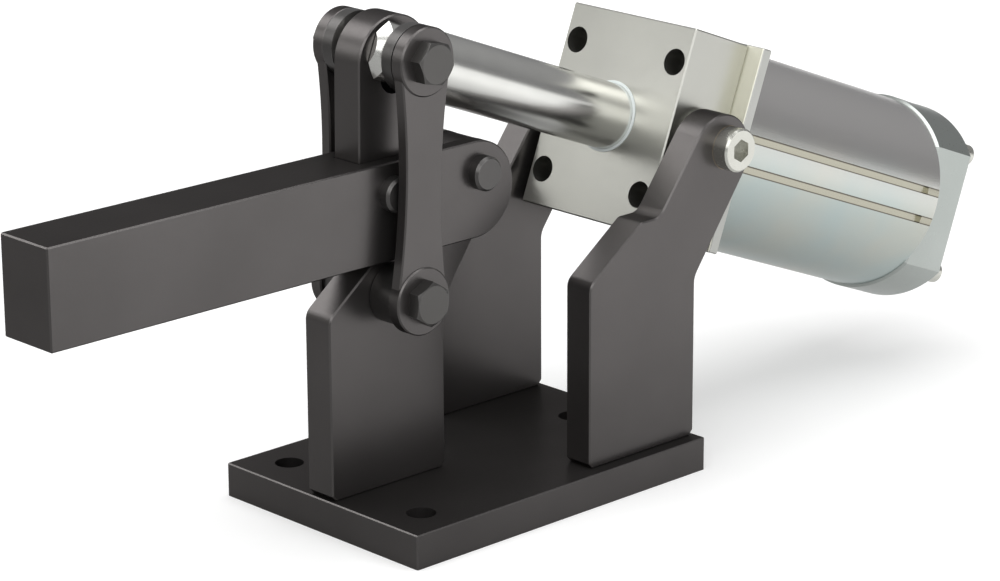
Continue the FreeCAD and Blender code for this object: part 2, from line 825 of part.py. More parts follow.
def make_trunnion_screws():
    """Socket head screws that the cylinder swings on."""
    head_y = side_outer_y + trunnion_head_height
    thread_end = block_half - trunnion_thread_length
    screws = []
    for side in (-1, 1):
        screw = turned_y([
            (side * thread_end, 0), (side * thread_end, trunnion_thread_radius),
            (side * block_half, trunnion_thread_radius), (side * block_half, trunnion_radius),
            (side * side_outer_y, trunnion_radius), (side * side_outer_y, trunnion_head_radius),
            (side * (head_y - trunnion_head_chamfer), trunnion_head_radius),
            (side * head_y, trunnion_head_radius - trunnion_head_chamfer), (side * head_y, 0),
        ], trunnion_x, trunnion_z)
        low, high = sorted((side * (head_y - socket_depth), side * head_y))
        screws.append(screw.cut(hexagon_y(socket_across_flats, low, high, trunnion_x, trunnion_z, 90)))
    return Part.makeCompound(screws)


def make_trunnion_washers():
    """Thrust washers between the bearing block and the side plates."""
    inner = trunnion_radius + pin_gap
    left = ring_y(inner, washer_radius, -side_inner_y, -block_half, trunnion_x, trunnion_z)
    right = ring_y(inner, washer_radius, block_half, side_inner_y, trunnion_x, trunnion_z)
    return Part.makeCompound([left, right])


pieces = {
    "base_plate": make_base_plate(),
    "web_plate": make_web_plate(),
    "side_plate_left": make_side_plate(-1),
    "side_plate_right": make_side_plate(1),
    "foot_screws": make_foot_screws(),
    "link_pivot_bush": make_bush(bottom_pivot_x, bottom_pivot_z),
    "arm_pivot_bush": make_bush(arm_pivot_x, arm_pivot_z),
    "trunnion_bushes": make_trunnion_bushes(),
    "clamp_arm": make_clamp_arm(),
    "arm_pin": make_pin(arm_pivot_x, arm_pivot_z),
    "arm_pin_ring": make_pin_ring(arm_pivot_x, arm_pivot_z),
    "lever_pin": make_pin(lever_pin_x, lever_pin_z),
    "lever_pin_ring": make_pin_ring(lever_pin_x, lever_pin_z),
    "toggle_lever": make_toggle_lever(),
    "lever_bush": make_bush(lever_pin_x, lever_pin_z),
    "link_left": make_link(-1),
    "link_right": make_link(1),
    "top_bolt": make_bolt(top_pivot_x, top_pivot_z, top_hex_turn),
    "top_nut": make_nut(top_pivot_x, top_pivot_z, top_hex_turn),
    "top_spacers": make_spacers(link_boss_radius, top_spacer_inner_y, top_pivot_x, top_pivot_z),
    "bottom_bolt": make_bolt(bottom_pivot_x, bottom_pivot_z, bottom_hex_turn),
    "bottom_nut": make_nut(bottom_pivot_x, bottom_pivot_z, bottom_hex_turn),
    "bottom_spacers": make_spacers(bottom_spacer_radius, slot_half, bottom_pivot_x, bottom_pivot_z),
    "piston_rod": make_piston_rod(),
    "rod_wiper": make_rod_wiper(),
    "rod_seal": make_rod_seal(),
    "rod_bush": make_rod_bush(),
    "trunnion_block": make_trunnion_block(),
    "front_cover": make_front_cover(),
    "head_screws": make_head_screws(),
    "cylinder_tube": make_cylinder_tube(),
    "tube_seals": make_tube_seals(),
    "piston": make_piston(),
    "piston_seals": make_piston_rings("seal", bore_radius - pin_gap),
    "guide_ring": make_piston_rings("guide", bore_radius - pin_gap),
    "magnet_ring": make_piston_rings("magnet", piston_radius),
    "piston_nut": make_piston_nut(),
    "front_bumper": make_bumper(front_spigot_end),
    "rear_bumper": make_bumper(rear_spigot_end - bumper_length),
    "rear_cap": make_rear_cap(),
    "cap_screws": make_cap_screws(),
    "trunnion_screws": make_trunnion_screws(),
    "trunnion_washers": make_trunnion_washers(),
}

for name, shape in pieces.items():
    shape.exportStep("parts/" + name + ".step")
    print(name, len(shape.Solids), round(shape.Volume, 1), shape.isValid())
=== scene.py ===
import math

import bmesh
import bpy
from mathutils import Matrix, Vector


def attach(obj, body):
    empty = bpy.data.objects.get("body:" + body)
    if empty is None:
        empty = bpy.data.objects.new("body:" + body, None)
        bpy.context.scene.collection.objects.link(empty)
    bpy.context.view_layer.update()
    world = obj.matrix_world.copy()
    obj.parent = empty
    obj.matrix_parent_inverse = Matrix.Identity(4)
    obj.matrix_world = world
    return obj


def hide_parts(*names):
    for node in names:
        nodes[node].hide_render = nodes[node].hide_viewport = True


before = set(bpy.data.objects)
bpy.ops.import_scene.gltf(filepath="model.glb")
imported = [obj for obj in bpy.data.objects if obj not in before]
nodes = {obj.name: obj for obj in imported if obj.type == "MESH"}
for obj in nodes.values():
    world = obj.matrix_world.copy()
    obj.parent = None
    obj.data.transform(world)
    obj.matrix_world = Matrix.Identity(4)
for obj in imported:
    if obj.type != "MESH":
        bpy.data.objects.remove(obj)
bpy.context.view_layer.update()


# Viewpoint
# The closed clamp is seen from its front left and a little from above, through a long lens. The
# camera's place and turns come from the edges and holes of the base plate.

focal_length, film_width, sight_limit = 126.46, 36.0, 20.0
camera_place = Vector((-0.8153, -0.8741, 0.4470))
camera_turn, camera_tip, camera_roll = 0.76045, -0.30340, -0.00463

scene = bpy.context.scene
camera = bpy.data.objects.new("camera", bpy.data.cameras.new("camera"))
scene.collection.objects.link(camera)
scene.camera = camera
camera.data.lens = focal_length
camera.data.sensor_width = film_width
camera.data.clip_end = sight_limit
camera.matrix_world = (
    Matrix.Translation(camera_place)
    @ Matrix.Rotation(-camera_turn, 4, "Z")
    @ Matrix.Rotation(math.pi / 2 + camera_tip, 4, "X")
    @ Matrix.Rotation(camera_roll, 4, "Z")
)


# Studio floor
# A wide white floor that glows a little by itself, more so far off, where it meets the white
# room. The metals mirror a darker floor, which glows on the side that the light falls on.

floor_half, floor_roughness = 6.0, 0.9
seen_white, mirrored_grey = (0.80, 0.80, 0.80), (0.35, 0.35, 0.35)
seen_glow_near, seen_glow_far = 0.26, 1.0
near_reach, far_reach = 0.3, 1.6
mirrored_glow_dim, mirrored_glow_lit = 0.0, 0.80
lit_side = (0.70, -0.71, 0)
dim_from, lit_from = -0.1, 0.45


def wire(tree, *pairs):
    """Links pairs of sockets in a node tree."""
    for start, end in pairs:
        tree.links.new(start, end)


def ramp(tree, start, stop, low=0.0, high=1.0, smooth=False):
    """Goes from low to high while its value goes from start to stop."""
    node = tree.nodes.new("ShaderNodeMapRange")
    if smooth:
        node.interpolation_type = "SMOOTHSTEP"
    node.inputs["From Min"].default_value = start
    node.inputs["From Max"].default_value = stop
    node.inputs["To Min"].default_value = low
    node.inputs["To Max"].default_value = high
    return node


def blend(tree, first=None, second=None):
    """Mixes two colours. One that isn't given is wired in afterwards."""
    node = tree.nodes.new("ShaderNodeMix")
    node.data_type = "RGBA"
    for label, colour in (("A", first), ("B", second)):
        if colour:
            node.inputs[label].default_value = (*colour, 1)
    return node


def vector_step(tree, operation, second=None):
    """Does one sum with vectors. A second vector that isn't given is wired in afterwards."""
    node = tree.nodes.new("ShaderNodeVectorMath")
    node.operation = operation
    if second:
        node.inputs[1].default_value = second
    return node


floor_work = bmesh.new()
bmesh.ops.create_grid(floor_work, x_segments=1, y_segments=1, size=floor_half)
floor_mesh = bpy.data.meshes.new("floor")
floor_work.to_mesh(floor_mesh)
floor_work.free()
floor = bpy.data.objects.new("floor", floor_mesh)
scene.collection.objects.link(floor)

floor_paint = bpy.data.materials.new("floor_paint")
floor_paint.use_nodes = True
paint = floor_paint.node_tree
paint_shader = paint.nodes["Principled BSDF"]
paint_shader.inputs["Roughness"].default_value = floor_roughness
paint_shader.inputs["Specular IOR Level"].default_value = 0.0
paint_shader.inputs["Emission Color"].default_value = (1, 1, 1, 1)
seen = paint.nodes.new("ShaderNodeLightPath")
lie = paint.nodes.new("ShaderNodeTexCoord")
towards_light = vector_step(paint, "DOT_PRODUCT", lit_side)
bounce = ramp(paint, dim_from, lit_from, mirrored_glow_dim, mirrored_glow_lit, smooth=True)
from_clamp = vector_step(paint, "LENGTH")
fade_out = ramp(paint, near_reach, far_reach, seen_glow_near, seen_glow_far, smooth=True)
coat = blend(paint, mirrored_grey, seen_white)
glow = paint.nodes.new("ShaderNodeMix")
wire(
    paint,
    (lie.outputs["Object"], towards_light.inputs[0]),
    (towards_light.outputs["Value"], bounce.inputs["Value"]),
    (bounce.outputs["Result"], glow.inputs["A"]),
    (lie.outputs["Object"], from_clamp.inputs[0]),
    (from_clamp.outputs["Value"], fade_out.inputs["Value"]),
    (fade_out.outputs["Result"], glow.inputs["B"]),
    (seen.outputs["Is Camera Ray"], glow.inputs["Factor"]),
    (glow.outputs["Result"], paint_shader.inputs["Emission Strength"]),
    (seen.outputs["Is Camera Ray"], coat.inputs["Factor"]),
    (coat.outputs["Result"], paint_shader.inputs["Base Color"]),
)
floor.data.materials.append(floor_paint)


# Studio room
# A soft grey room, darker near the floor and a little lighter in front of the arm. Only the
# metals mirror it: behind the clamp itself the room is white.

room_low, room_high = (0.18, 0.18, 0.185), (0.46, 0.46, 0.46)
room_front, room_behind = (0.52, 0.52, 0.50), (1, 1, 1)
high_from = 0.8
front_side = (-0.96, 0.17, 0.20)
front_from, front_full = 0.3, 1.0

scene.view_settings.view_transform = "Standard"
world = bpy.data.worlds.new("room")
scene.world = world
world.use_nodes = True
room = world.node_tree
backdrop = room.nodes["Background"]
looking = room.nodes.new("ShaderNodeTexCoord")
parts = room.nodes.new("ShaderNodeSeparateXYZ")
height = ramp(room, 0.0, high_from)
sky = blend(room, room_low, room_high)
facing = vector_step(room, "DOT_PRODUCT", front_side)
patch = ramp(room, front_from, front_full, smooth=True)
lit_sky = blend(room, second=room_front)
watched = room.nodes.new("ShaderNodeLightPath")
white_back = blend(room, second=room_behind)
wire(
    room,
    (looking.outputs["Generated"], parts.inputs["Vector"]),
    (parts.outputs["Z"], height.inputs["Value"]),
    (height.outputs["Result"], sky.inputs["Factor"]),
    (looking.outputs["Generated"], facing.inputs[0]),
    (facing.outputs["Value"], patch.inputs["Value"]),
    (patch.outputs["Result"], lit_sky.inputs["Factor"]),
    (sky.outputs["Result"], lit_sky.inputs["A"]),
    (lit_sky.outputs["Result"], white_back.inputs["A"]),
    (watched.outputs["Is Camera Ray"], white_back.inputs["Factor"]),
    (white_back.outputs["Result"], backdrop.inputs["Color"]),
)
backdrop.inputs["Strength"].default_value = 1.0


# Studio lamps
# Broad soft lamps on the clamp's left and right, above it, above its front and beside the
# camera. A small one that casts no shadow brightens the rod.

def add_lamp(name, place, aim, size, power):
    """A soft rectangular lamp at a place, aimed at a point."""
    lamp = bpy.data.lights.new(name, "AREA")
    lamp.shape = "RECTANGLE"
    lamp.size, lamp.size_y = size
    lamp.energy = power
    holder = bpy.data.objects.new(name, lamp)
    scene.collection.objects.link(holder)
    holder.location = place
    holder.rotation_euler = (Vector(aim) - Vector(place)).to_track_quat("-Z", "Y").to_euler()
    holder.visible_camera = False
    return holder


left_lamp = add_lamp(
    "left_lamp", place=(0.9, -1.5, 0.45), aim=(0.05, 0, 0.1), size=(1.2, 0.8), power=6)
left_lamp.visible_glossy = False
add_lamp("back_lamp", place=(-0.35, 1.2, 1.15), aim=(0, 0, 0.1), size=(0.8, 0.6), power=4)
add_lamp("top_lamp", place=(0.15, -0.10, 1.4), aim=(0.15, 0, 0), size=(1.3, 1.3), power=12)
rod_glow = add_lamp(
    "rod_glow", place=(-0.28, 0.30, 0.28), aim=(0.07, -0.02, 0.12), size=(0.12, 0.12), power=0.07)
rod_glow.data.use_shadow = False
add_lamp(
    "over_front_lamp", place=(-0.45, 0, 1.22), aim=(0.05, 0, 0.12), size=(0.5, 0.5), power=1.5)
add_lamp(
    "camera_side_lamp", place=(-0.60, -0.95, 0.72), aim=(0.05, 0, 0.12), size=(1.1, 0.7), power=4)


# Base plate, web, side plates, arm, lever and links
# Hot rolled and ground steel with a satin black oxide finish. It is a little cloudy, has a fine
# grain from the grinding, and is lighter along the edges, partly rubbed wear and partly a
# painted highlight.

edge_samples, edge_flat, edge_bent = 4, 0.98, 0.75
rubbed_and_lit_detail, rubbed_and_lit_low, rubbed_and_lit_high, rubbed_and_lit_least = 4.0, 0.35, 0.65, 0.25
cloud_detail, cloud_low, cloud_high = 3.0, 0.3, 0.7
grain_detail, grain_low, grain_high = 2.0, 0.25, 0.75
cylinder_drop, cylinder_run = 49.0, 125.0
cylinder_tilt = math.atan2(cylinder_drop, cylinder_run)
trunnion = Vector((0.0865, 0.0, 0.118))
oxide_tint = (0.25, 0.25, 0.25)


def number_step(tree, operation, second=None):
    """Does one sum with numbers. A second number that isn't given is wired in afterwards."""
    node = tree.nodes.new("ShaderNodeMath")
    node.operation = operation
    if second is not None:
        node.inputs[1].default_value = second
    return node


def noise(tree, detail):
    """An even noise of the given detail."""
    node = tree.nodes.new("ShaderNodeTexNoise")
    node.inputs["Detail"].default_value = detail
    return node


def new_group(name, inputs, outputs):
    """An empty shader group with a place input, float inputs (name: value) and float outputs."""
    group = bpy.data.node_groups.new(name, "ShaderNodeTree")
    group.interface.new_socket(name="Place", in_out="INPUT", socket_type="NodeSocketVector")
    for label, value in inputs.items():
        socket = group.interface.new_socket(
            name=label, in_out="INPUT", socket_type="NodeSocketFloat")
        socket.default_value = value
    for label in outputs:
        group.interface.new_socket(name=label, in_out="OUTPUT", socket_type="NodeSocketFloat")
    return group, group.nodes.new("NodeGroupInput"), group.nodes.new("NodeGroupOutput")


def use_group(tree, group, values):
    """Places a shader group in a material, with the material's own values."""
    node = tree.nodes.new("ShaderNodeGroup")
    node.node_tree = group
    for label, value in values.items():
        node.inputs[label].default_value = value
    return node


# Edge mask: lightens the colour along edges, partly rubbed wear and partly a painted highlight.
rubbed_and_lit, given, result = new_group("rubbed_and_lit_edges", {"Width": 0.0008, "Break Up": 90.0}, ["Mask"])
rounded = rubbed_and_lit.nodes.new("ShaderNodeBevel")
rounded.samples = edge_samples
surface = rubbed_and_lit.nodes.new("ShaderNodeNewGeometry")
same = vector_step(rubbed_and_lit, "DOT_PRODUCT")
bend = ramp(rubbed_and_lit, edge_flat, edge_bent)
patchy = noise(rubbed_and_lit, rubbed_and_lit_detail)
thin = ramp(rubbed_and_lit, rubbed_and_lit_low, rubbed_and_lit_high, low=rubbed_and_lit_least)
both = number_step(rubbed_and_lit, "MULTIPLY")
wire(
    rubbed_and_lit,
    (given.outputs["Width"], rounded.inputs["Radius"]),
    (rounded.outputs["Normal"], same.inputs[0]),
    (surface.outputs["Normal"], same.inputs[1]),
    (same.outputs["Value"], bend.inputs["Value"]),
    (given.outputs["Place"], patchy.inputs["Vector"]),
    (given.outputs["Break Up"], patchy.inputs["Scale"]),
    (patchy.outputs["Fac"], thin.inputs["Value"]),
    (bend.outputs["Result"], both.inputs[0]),
    (thin.outputs["Result"], both.inputs[1]),
    (both.outputs["Value"], result.inputs["Mask"]),
)

grained, given, result = new_group(
    "cloud_and_grain", {"Cloud Scale": 25.0, "Grain Scale": 1400.0, "Draw": 1.0},
    ["Cloud", "Grain"])
shrink = grained.nodes.new("ShaderNodeCombineXYZ")
shrink.inputs["Y"].default_value = 1.0
shrink.inputs["Z"].default_value = 1.0
drawn_out = vector_step(grained, "MULTIPLY")
cloud = noise(grained, cloud_detail)
grit = noise(grained, grain_detail)
wire(
    grained,
    (given.outputs["Place"], cloud.inputs["Vector"]),
    (given.outputs["Place"], drawn_out.inputs[0]),
    (given.outputs["Draw"], shrink.inputs["X"]),
    (shrink.outputs["Vector"], drawn_out.inputs[1]),
    (given.outputs["Cloud Scale"], cloud.inputs["Scale"]),
    (drawn_out.outputs["Vector"], grit.inputs["Vector"]),
    (given.outputs["Grain Scale"], grit.inputs["Scale"]),
    (cloud.outputs["Fac"], result.inputs["Cloud"]),
    (grit.outputs["Fac"], result.inputs["Grain"]),
)


def metal(name, dark, light, rubbed_and_lit_colour, metallic, roughness, spread=0.06, edge=0.0008, rubbed_and_lit_share=0.6,
          cloud_scale=25.0, grain_scale=1400.0, draw=1.0, depth=0.00002):
    """A finish that is cloudy between dark and light, with grain in it, and edges made lighter by
    rubbed wear and a painted highlight. Its pattern lies along the cylinder, and the grain is
    drawn out that way where draw is under 1."""
    finish = bpy.data.materials.new(name)
    finish.use_nodes = True
    tree = finish.node_tree
    shader = tree.nodes["Principled BSDF"]
    shader.inputs["Metallic"].default_value = metallic
    place = tree.nodes.new("ShaderNodeTexCoord")
    axes = tree.nodes.new("ShaderNodeMapping")
    axes.name = "cylinder_axes"
    axes.vector_type = "TEXTURE"
    axes.inputs["Location"].default_value = trunnion
    axes.inputs["Rotation"].default_value = (0, cylinder_tilt, 0)
    grain = use_group(
        tree, grained, {"Cloud Scale": cloud_scale, "Grain Scale": grain_scale, "Draw": draw})
    edges = use_group(tree, rubbed_and_lit, {"Width": edge})
    tone = ramp(tree, cloud_low, cloud_high)
    colour = blend(tree, dark, light)
    share = number_step(tree, "MULTIPLY", rubbed_and_lit_share)
    rubbed_and_lit_layer = blend(tree, second=rubbed_and_lit_colour)
    sheen = ramp(tree, grain_low, grain_high, roughness - spread / 2, roughness + spread / 2)
    relief = tree.nodes.new("ShaderNodeBump")
    relief.inputs["Distance"].default_value = depth
    wire(
        tree,
        (place.outputs["Object"], axes.inputs["Vector"]),
        (axes.outputs["Vector"], grain.inputs["Place"]),
        (axes.outputs["Vector"], edges.inputs["Place"]),
        (grain.outputs["Cloud"], tone.inputs["Value"]),
        (tone.outputs["Result"], colour.inputs["Factor"]),
        (edges.outputs["Mask"], share.inputs[0]),
        (share.outputs["Value"], rubbed_and_lit_layer.inputs["Factor"]),
        (colour.outputs["Result"], rubbed_and_lit_layer.inputs["A"]),
        (rubbed_and_lit_layer.outputs["Result"], shader.inputs["Base Color"]),
        (grain.outputs["Grain"], sheen.inputs["Value"]),
        (sheen.outputs["Result"], shader.inputs["Roughness"]),
        (grain.outputs["Grain"], relief.inputs["Height"]),
        (relief.outputs["Normal"], shader.inputs["Normal"]),
    )
    return finish


def give_finish(finish, *names):
    """Gives CAD nodes their finish."""
    for name in names:
        nodes[name].data.materials.clear()
        nodes[name].data.materials.append(finish)


black_steel = metal(
    "black_steel", dark=(0.124, 0.117, 0.115), light=(0.140, 0.132, 0.130),
    rubbed_and_lit_colour=(0.30, 0.30, 0.30), metallic=0.9, roughness=0.31, rubbed_and_lit_share=0.22)
oxide_shader = black_steel.node_tree.nodes["Principled BSDF"]
oxide_shader.inputs["Specular Tint"].default_value = (*oxide_tint, 1)
give_finish(
    black_steel, "base_plate", "web_plate", "side_plate_left", "side_plate_right", "clamp_arm",
    "toggle_lever", "link_left", "link_right")


# Pins, bolts, spacer rings and base screws
# Turned and cold formed steel, blackened too and a little darker than the plates. Rings hold the
# pins on the far side and nuts the bolts, and the base screws come from below.

pin_steel = metal(
    "pin_steel", dark=(0.110, 0.106, 0.104), light=(0.125, 0.121, 0.118),
    rubbed_and_lit_colour=(0.32, 0.32, 0.32), metallic=0.9, roughness=0.34, edge=0.0005)
bolt_steel = metal(
    "bolt_steel", dark=(0.110, 0.107, 0.103), light=(0.125, 0.121, 0.117),
    rubbed_and_lit_colour=(0.32, 0.32, 0.32), metallic=0.9, roughness=0.36, edge=0.0005)
give_finish(
    pin_steel, "arm_pin", "lever_pin", "arm_pin_ring", "lever_pin_ring", "top_spacers",
    "bottom_spacers")
give_finish(bolt_steel, "top_bolt", "top_nut", "bottom_bolt", "bottom_nut", "foot_screws")


# Bearing bushes
# Sintered bronze sleeves, pressed into the web, the side plates, the lever and the bearing
# block.

bronze = metal(
    "bearing_bronze", dark=(0.42, 0.28, 0.14), light=(0.55, 0.38, 0.20), rubbed_and_lit_colour=(0.62, 0.46, 0.26),
    metallic=0.9, roughness=0.45, grain_scale=5000.0)
give_finish(
    bronze, "link_pivot_bush", "arm_pivot_bush", "trunnion_bushes", "lever_bush", "rod_bush")


# Bearing block and piston
# Aluminium, milled all over and left bare, with a warm satin grey. A painted shade darkens the
# insides of the block's four counterbores, round the screws that hold it.

block_screw_spacing = 0.04948
bore_shade_from, bore_shade_full = 0.0050, 0.0047
painted_bore_shade = (0.12, 0.115, 0.105)
across_cylinder = (0, 1, 1)

block_metal = metal(
    "bare_aluminium", dark=(0.50, 0.50, 0.465), light=(0.55, 0.55, 0.51),
    rubbed_and_lit_colour=(0.74, 0.74, 0.71), metallic=0.95, roughness=0.32, depth=0.000004, edge=0.0005,
    grain_scale=1100.0, rubbed_and_lit_share=0.4)


def paint_over(finish, mask, colour):
    """Lays a colour over a finish where the mask is 1."""
    tree = finish.node_tree
    shown = tree.nodes["Principled BSDF"].inputs["Base Color"]
    layer = blend(tree, second=colour)
    wire(
        tree,
        (mask, layer.inputs["Factor"]),
        (shown.links[0].from_socket, layer.inputs["A"]),
        (layer.outputs["Result"], shown),
    )


bores = block_metal.node_tree
one_corner = vector_step(bores, "ABSOLUTE")
from_screw = vector_step(
    bores, "SUBTRACT", (0, block_screw_spacing / 2, block_screw_spacing / 2))
sideways = vector_step(bores, "MULTIPLY", across_cylinder)
reach = vector_step(bores, "LENGTH")
bore_shade_mask = ramp(bores, bore_shade_from, bore_shade_full)
wire(
    bores,
    (bores.nodes["cylinder_axes"].outputs["Vector"], one_corner.inputs[0]),
    (one_corner.outputs["Vector"], from_screw.inputs[0]),
    (from_screw.outputs["Vector"], sideways.inputs[0]),
    (sideways.outputs["Vector"], reach.inputs[0]),
    (reach.outputs["Value"], bore_shade_mask.inputs["Value"]),
)
# Painted shade: the insides of the counterbores are darkened.
paint_over(block_metal, bore_shade_mask.outputs["Result"], painted_bore_shade)
give_finish(block_metal, "trunnion_block", "piston")


# Front cover
# A square aluminium plate that closes the tube behind the bearing block. It is a little larger
# than the block, and its front, a narrow ledge round the block, is painted a bright pale cream as
# painted light.

ledge_from, ledge_full = 0.01360, 0.01340
ledge_painted_light = (0.86, 0.85, 0.73)

cover_metal = metal(
    "cover_aluminium", dark=(0.47, 0.475, 0.45), light=(0.52, 0.525, 0.50),
    rubbed_and_lit_colour=(0.74, 0.74, 0.70), metallic=0.7, roughness=0.40, edge=0.0005, grain_scale=1100.0,
    rubbed_and_lit_share=0.4, depth=0.000004)


def cylinder_place(finish):
    """The place on a piece in the cylinder's own axes: X along it, Z out of its upper side."""
    tree = finish.node_tree
    place = tree.nodes.new("ShaderNodeSeparateXYZ")
    wire(tree, (tree.nodes["cylinder_axes"].outputs["Vector"], place.inputs["Vector"]))
    return place


ledge = cover_metal.node_tree
ledge_light_mask = ramp(ledge, ledge_from, ledge_full)
wire(ledge, (cylinder_place(cover_metal).outputs["X"], ledge_light_mask.inputs["Value"]))
# Painted light: the front ledge is painted brighter than the cover's sides.
paint_over(cover_metal, ledge_light_mask.outputs["Result"], ledge_painted_light)
give_finish(cover_metal, "front_cover")


# Cylinder tube
# Extruded aluminium, drawn lengthwise and anodised. Its upper side is painted paler as painted
# light. The two sensor grooves on each side have painted light, cream, along the bottom and
# painted shade along their walls.

groove_from_middle = 0.00575
wall_from, wall_full = 0.00165, 0.00155
bottom_from, bottom_full = 0.00125, 0.00105
groove_painted_shade, groove_painted_light = (0.15, 0.135, 0.11), (0.46, 0.445, 0.365)
upper_light_from, upper_light_full = -0.005, 0.020
painted_upper_light = (0.78, 0.765, 0.75)

tube_metal = metal(
    "tube_aluminium", dark=(0.46, 0.55, 0.55), light=(0.56, 0.56, 0.50), rubbed_and_lit_colour=(0.78, 0.80, 0.78),
    metallic=0.95, roughness=0.26, spread=0.02, cloud_scale=20.0, edge=0.0004,
    grain_scale=1500.0, draw=0.02, rubbed_and_lit_share=0.3, depth=0.0000004)
grooves = tube_metal.node_tree
tube_height = cylinder_place(tube_metal).outputs["Z"]
upper_light_mask = ramp(grooves, upper_light_from, upper_light_full)
above_middle = number_step(grooves, "ABSOLUTE")
from_groove = number_step(grooves, "SUBTRACT", groove_from_middle)
off_groove = number_step(grooves, "ABSOLUTE")
groove_wall_shade = ramp(grooves, wall_from, wall_full)
groove_floor_light = ramp(grooves, bottom_from, bottom_full)
wire(
    grooves,
    (tube_height, upper_light_mask.inputs["Value"]),
    (tube_height, above_middle.inputs[0]),
    (above_middle.outputs["Value"], from_groove.inputs[0]),
    (from_groove.outputs["Value"], off_groove.inputs[0]),
    (off_groove.outputs["Value"], groove_wall_shade.inputs["Value"]),
    (off_groove.outputs["Value"], groove_floor_light.inputs["Value"]),
)
# Painted light: the upper side of the tube is painted paler.
paint_over(tube_metal, upper_light_mask.outputs["Result"], painted_upper_light)
# Painted shade along the groove walls, then painted light along the groove floors.
paint_over(tube_metal, groove_wall_shade.outputs["Result"], groove_painted_shade)
paint_over(tube_metal, groove_floor_light.outputs["Result"], groove_painted_light)
give_finish(tube_metal, "cylinder_tube")


# Rear cap
# A round aluminium cap with flats at its sides, turned at its end face. Four screws hold it to
# the tube.

cap_metal = metal(
    "cap_aluminium", dark=(0.42, 0.45, 0.43), light=(0.47, 0.50, 0.48), rubbed_and_lit_colour=(0.78, 0.79, 0.77),
    metallic=0.95, roughness=0.30, edge=0.0005, rubbed_and_lit_share=0.4, depth=0.000006)
give_finish(cap_metal, "rear_cap")


# Trunnion screws, thrust washers and piston nut
# Bright zinc plated steel. The cylinder swings on the two screws, with a washer between the
# block and each side plate, and the nut holds the piston on its rod.

zinc = metal(
    "zinc_steel", dark=(0.60, 0.60, 0.55), light=(0.66, 0.66, 0.61), rubbed_and_lit_colour=(0.80, 0.80, 0.78),
    metallic=0.95, roughness=0.25, edge=0.0003, cloud_scale=90.0, rubbed_and_lit_share=0.2, depth=0.000002)
give_finish(zinc, "trunnion_screws", "trunnion_washers", "piston_nut")


# Screws of the bearing block and of the rear cap
# Socket head cap screws: turned heads with a broken edge and a pressed hexagon. Those in the
# block are blackened and sit deep in their counterbores, those on the cap are zinc plated.

head_radius, head_height, head_ease = 0.00425, 0.0050, 0.0004
shank_radius, tip_length, tip_share = 0.0025, 0.0005, 0.8
socket_flats, socket_depth = 0.0040, 0.0026
round_steps, hexagon_sides = 48, 6
cap_screw_spacing = 0.04808
along_rod = Matrix.Translation(trunnion) @ Matrix.Rotation(cylinder_tilt, 4, "Y")


def draw_loop(work, loop, size, shift):
    """Pulls a loop of edges on to a new size and height, and gives the new loop."""
    pulled = bmesh.ops.extrude_edge_only(work, edges=loop)["geom"]
    corners = [part for part in pulled if isinstance(part, bmesh.types.BMVert)]
    bmesh.ops.scale(work, vec=(size, size, 1), verts=corners)
    bmesh.ops.translate(work, vec=(0, 0, shift), verts=corners)
    return [part for part in pulled if isinstance(part, bmesh.types.BMEdge)
            and all(corner in corners for corner in part.verts)]


def socket_screw(length):
    """A cap screw that stands on the seat at height 0 with its head upwards."""
    work = bmesh.new()
    top = Matrix.Translation((0, 0, head_height))
    bmesh.ops.create_circle(
        work, segments=round_steps, radius=head_radius - head_ease, matrix=top)
    rim = list(work.edges)
    bmesh.ops.create_circle(
        work, segments=hexagon_sides, radius=socket_flats / math.sqrt(3), matrix=top)
    hexagon = [part for part in work.edges if part not in rim]
    bmesh.ops.subdivide_edges(work, edges=hexagon, cuts=round_steps // hexagon_sides - 1)
    hexagon = [part for part in work.edges if part not in rim]
    bmesh.ops.bridge_loops(work, edges=rim + hexagon)
    socket_floor = draw_loop(work, hexagon, 1.0, -socket_depth)
    bmesh.ops.contextual_create(work, geom=socket_floor)
    side = draw_loop(work, rim, head_radius / (head_radius - head_ease), -head_ease)
    side = draw_loop(work, side, 1.0, head_ease - head_height)
    side = draw_loop(work, side, shank_radius / head_radius, 0.0)
    side = draw_loop(work, side, 1.0, tip_length - length)
    side = draw_loop(work, side, tip_share, -tip_length)
    bmesh.ops.contextual_create(work, geom=side)
    bmesh.ops.recalc_face_normals(work, faces=work.faces)
    return work


def screw_set(name, finish, seat, turn_over, spacing, length):
    """Four screws on a square round the cylinder's axis, all on one seat."""
    mesh = bpy.data.meshes.new(name)
    full = bmesh.new()
    stand = Matrix.Rotation(math.radians(-90 if turn_over else 90), 4, "Y")
    for y in (-spacing / 2, spacing / 2):
        for z in (-spacing / 2, spacing / 2):
            screw = socket_screw(length)
            screw.transform(along_rod @ Matrix.Translation((seat, y, z)) @ stand)
            single = bpy.data.meshes.new("single_screw")
            screw.to_mesh(single)
            full.from_mesh(single)
            screw.free()
            bpy.data.meshes.remove(single)
    full.to_mesh(mesh)
    full.free()
    piece = bpy.data.objects.new(name, mesh)
    scene.collection.objects.link(piece)
    mesh.materials.append(finish)
    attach(piece, "cylinder")
    return piece


blackened = metal(
    "blackened_screws", dark=(0.10, 0.097, 0.093), light=(0.13, 0.126, 0.12),
    rubbed_and_lit_colour=(0.34, 0.34, 0.32), metallic=0.9, roughness=0.36, edge=0.0003, rubbed_and_lit_share=0.4, depth=0.000004)
head_screws = screw_set(
    "socket_head_screws", blackened, seat=0.00025, turn_over=True,
    spacing=block_screw_spacing, length=0.0278)
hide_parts("head_screws")
cap_screws = screw_set(
    "socket_cap_screws", zinc, seat=0.16075, turn_over=False,
    spacing=cap_screw_spacing, length=0.0330)
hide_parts("cap_screws")


# Threads in the air ports
# Two ports, one on top of the bearing block and one on top of the rear cap, each with a thread
# cut into the bare metal. It is shown as rings, one behind the other.

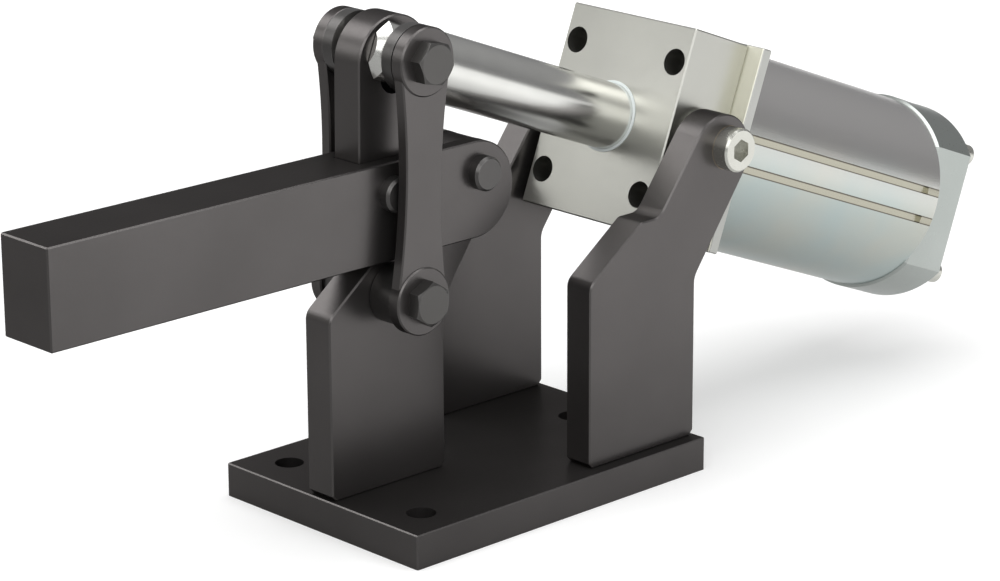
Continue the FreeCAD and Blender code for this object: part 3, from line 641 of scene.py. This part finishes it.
port_radius, thread_pitch, thread_turns = 0.00570, 0.0013, 8
thread_start, root_inset, crest_inset = 0.0004, 0.0001, 0.0008
thread_steps, closed_gap = 48, 0.000001
port_threads = (
    ("front_port_thread", block_metal, "bare_aluminium", 0.00545, 0.0382),
    ("rear_port_thread", cap_metal, "cap_aluminium", 0.14975, 0.0380),
)
for name, finish, slot, along_cylinder, port_height in port_threads:
    work = bmesh.new()
    profile = []
    for count in range(thread_turns):
        root = -thread_start - count * thread_pitch
        crest = -thread_start - (count + 0.5) * thread_pitch
        profile.append(work.verts.new((port_radius - root_inset, 0, root)))
        profile.append(work.verts.new((port_radius - crest_inset, 0, crest)))
    profile.append(work.verts.new((port_radius, 0, -thread_start - thread_turns * thread_pitch)))
    profile.append(work.verts.new((port_radius, 0, -thread_start)))
    outline = [work.edges.new(ends) for ends in zip(profile, profile[1:] + profile[:1])]
    bmesh.ops.spin(
        work, geom=profile + outline, axis=(0, 0, 1), cent=(0, 0, 0), angle=2 * math.pi,
        steps=thread_steps, use_merge=True)
    bmesh.ops.remove_doubles(work, verts=work.verts, dist=closed_gap)
    bmesh.ops.recalc_face_normals(work, faces=work.faces)
    work.transform(along_rod @ Matrix.Translation((along_cylinder, 0, port_height)))
    mesh = bpy.data.meshes.new(name)
    work.to_mesh(mesh)
    work.free()
    thread = bpy.data.objects.new(name, mesh)
    scene.collection.objects.link(thread)
    mesh.materials.append(finish)
    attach(thread, "cylinder")


# Piston rod
# Ground, hard chromed and polished steel with a turned cone and a milled fork at its front end,
# where the upper bolt takes it.

chrome = metal(
    "hard_chrome", dark=(0.74, 0.74, 0.71), light=(0.80, 0.80, 0.77), rubbed_and_lit_colour=(0.85, 0.85, 0.85),
    metallic=1.0, roughness=0.22, spread=0.03, edge=0.0003, cloud_scale=60.0, grain_scale=3000.0,
    draw=0.05, rubbed_and_lit_share=0.2, depth=0.000001)
give_finish(chrome, "piston_rod")


# Seals, bumpers, wiper and rings
# Black moulded rubber seals and bumpers, a pale scraper ring round the rod, dark plastic guide
# and magnet rings on the piston.

rubber = metal(
    "seal_rubber", dark=(0.022, 0.022, 0.022), light=(0.032, 0.032, 0.032),
    rubbed_and_lit_colour=(0.06, 0.06, 0.06), metallic=0.0, roughness=0.65, rubbed_and_lit_share=0.3)
wiper_plastic = metal(
    "wiper_plastic", dark=(0.74, 0.80, 0.80), light=(0.82, 0.87, 0.87), rubbed_and_lit_colour=(0.9, 0.92, 0.92),
    metallic=0.0, roughness=0.45, rubbed_and_lit_share=0.3)
guide_plastic = metal(
    "guide_plastic", dark=(0.09, 0.09, 0.09), light=(0.13, 0.13, 0.13), rubbed_and_lit_colour=(0.2, 0.2, 0.2),
    metallic=0.0, roughness=0.55, rubbed_and_lit_share=0.3)
give_finish(rubber, "rod_seal", "tube_seals", "piston_seals", "front_bumper", "rear_bumper")
give_finish(wiper_plastic, "rod_wiper")
give_finish(guide_plastic, "guide_ring", "magnet_ring")
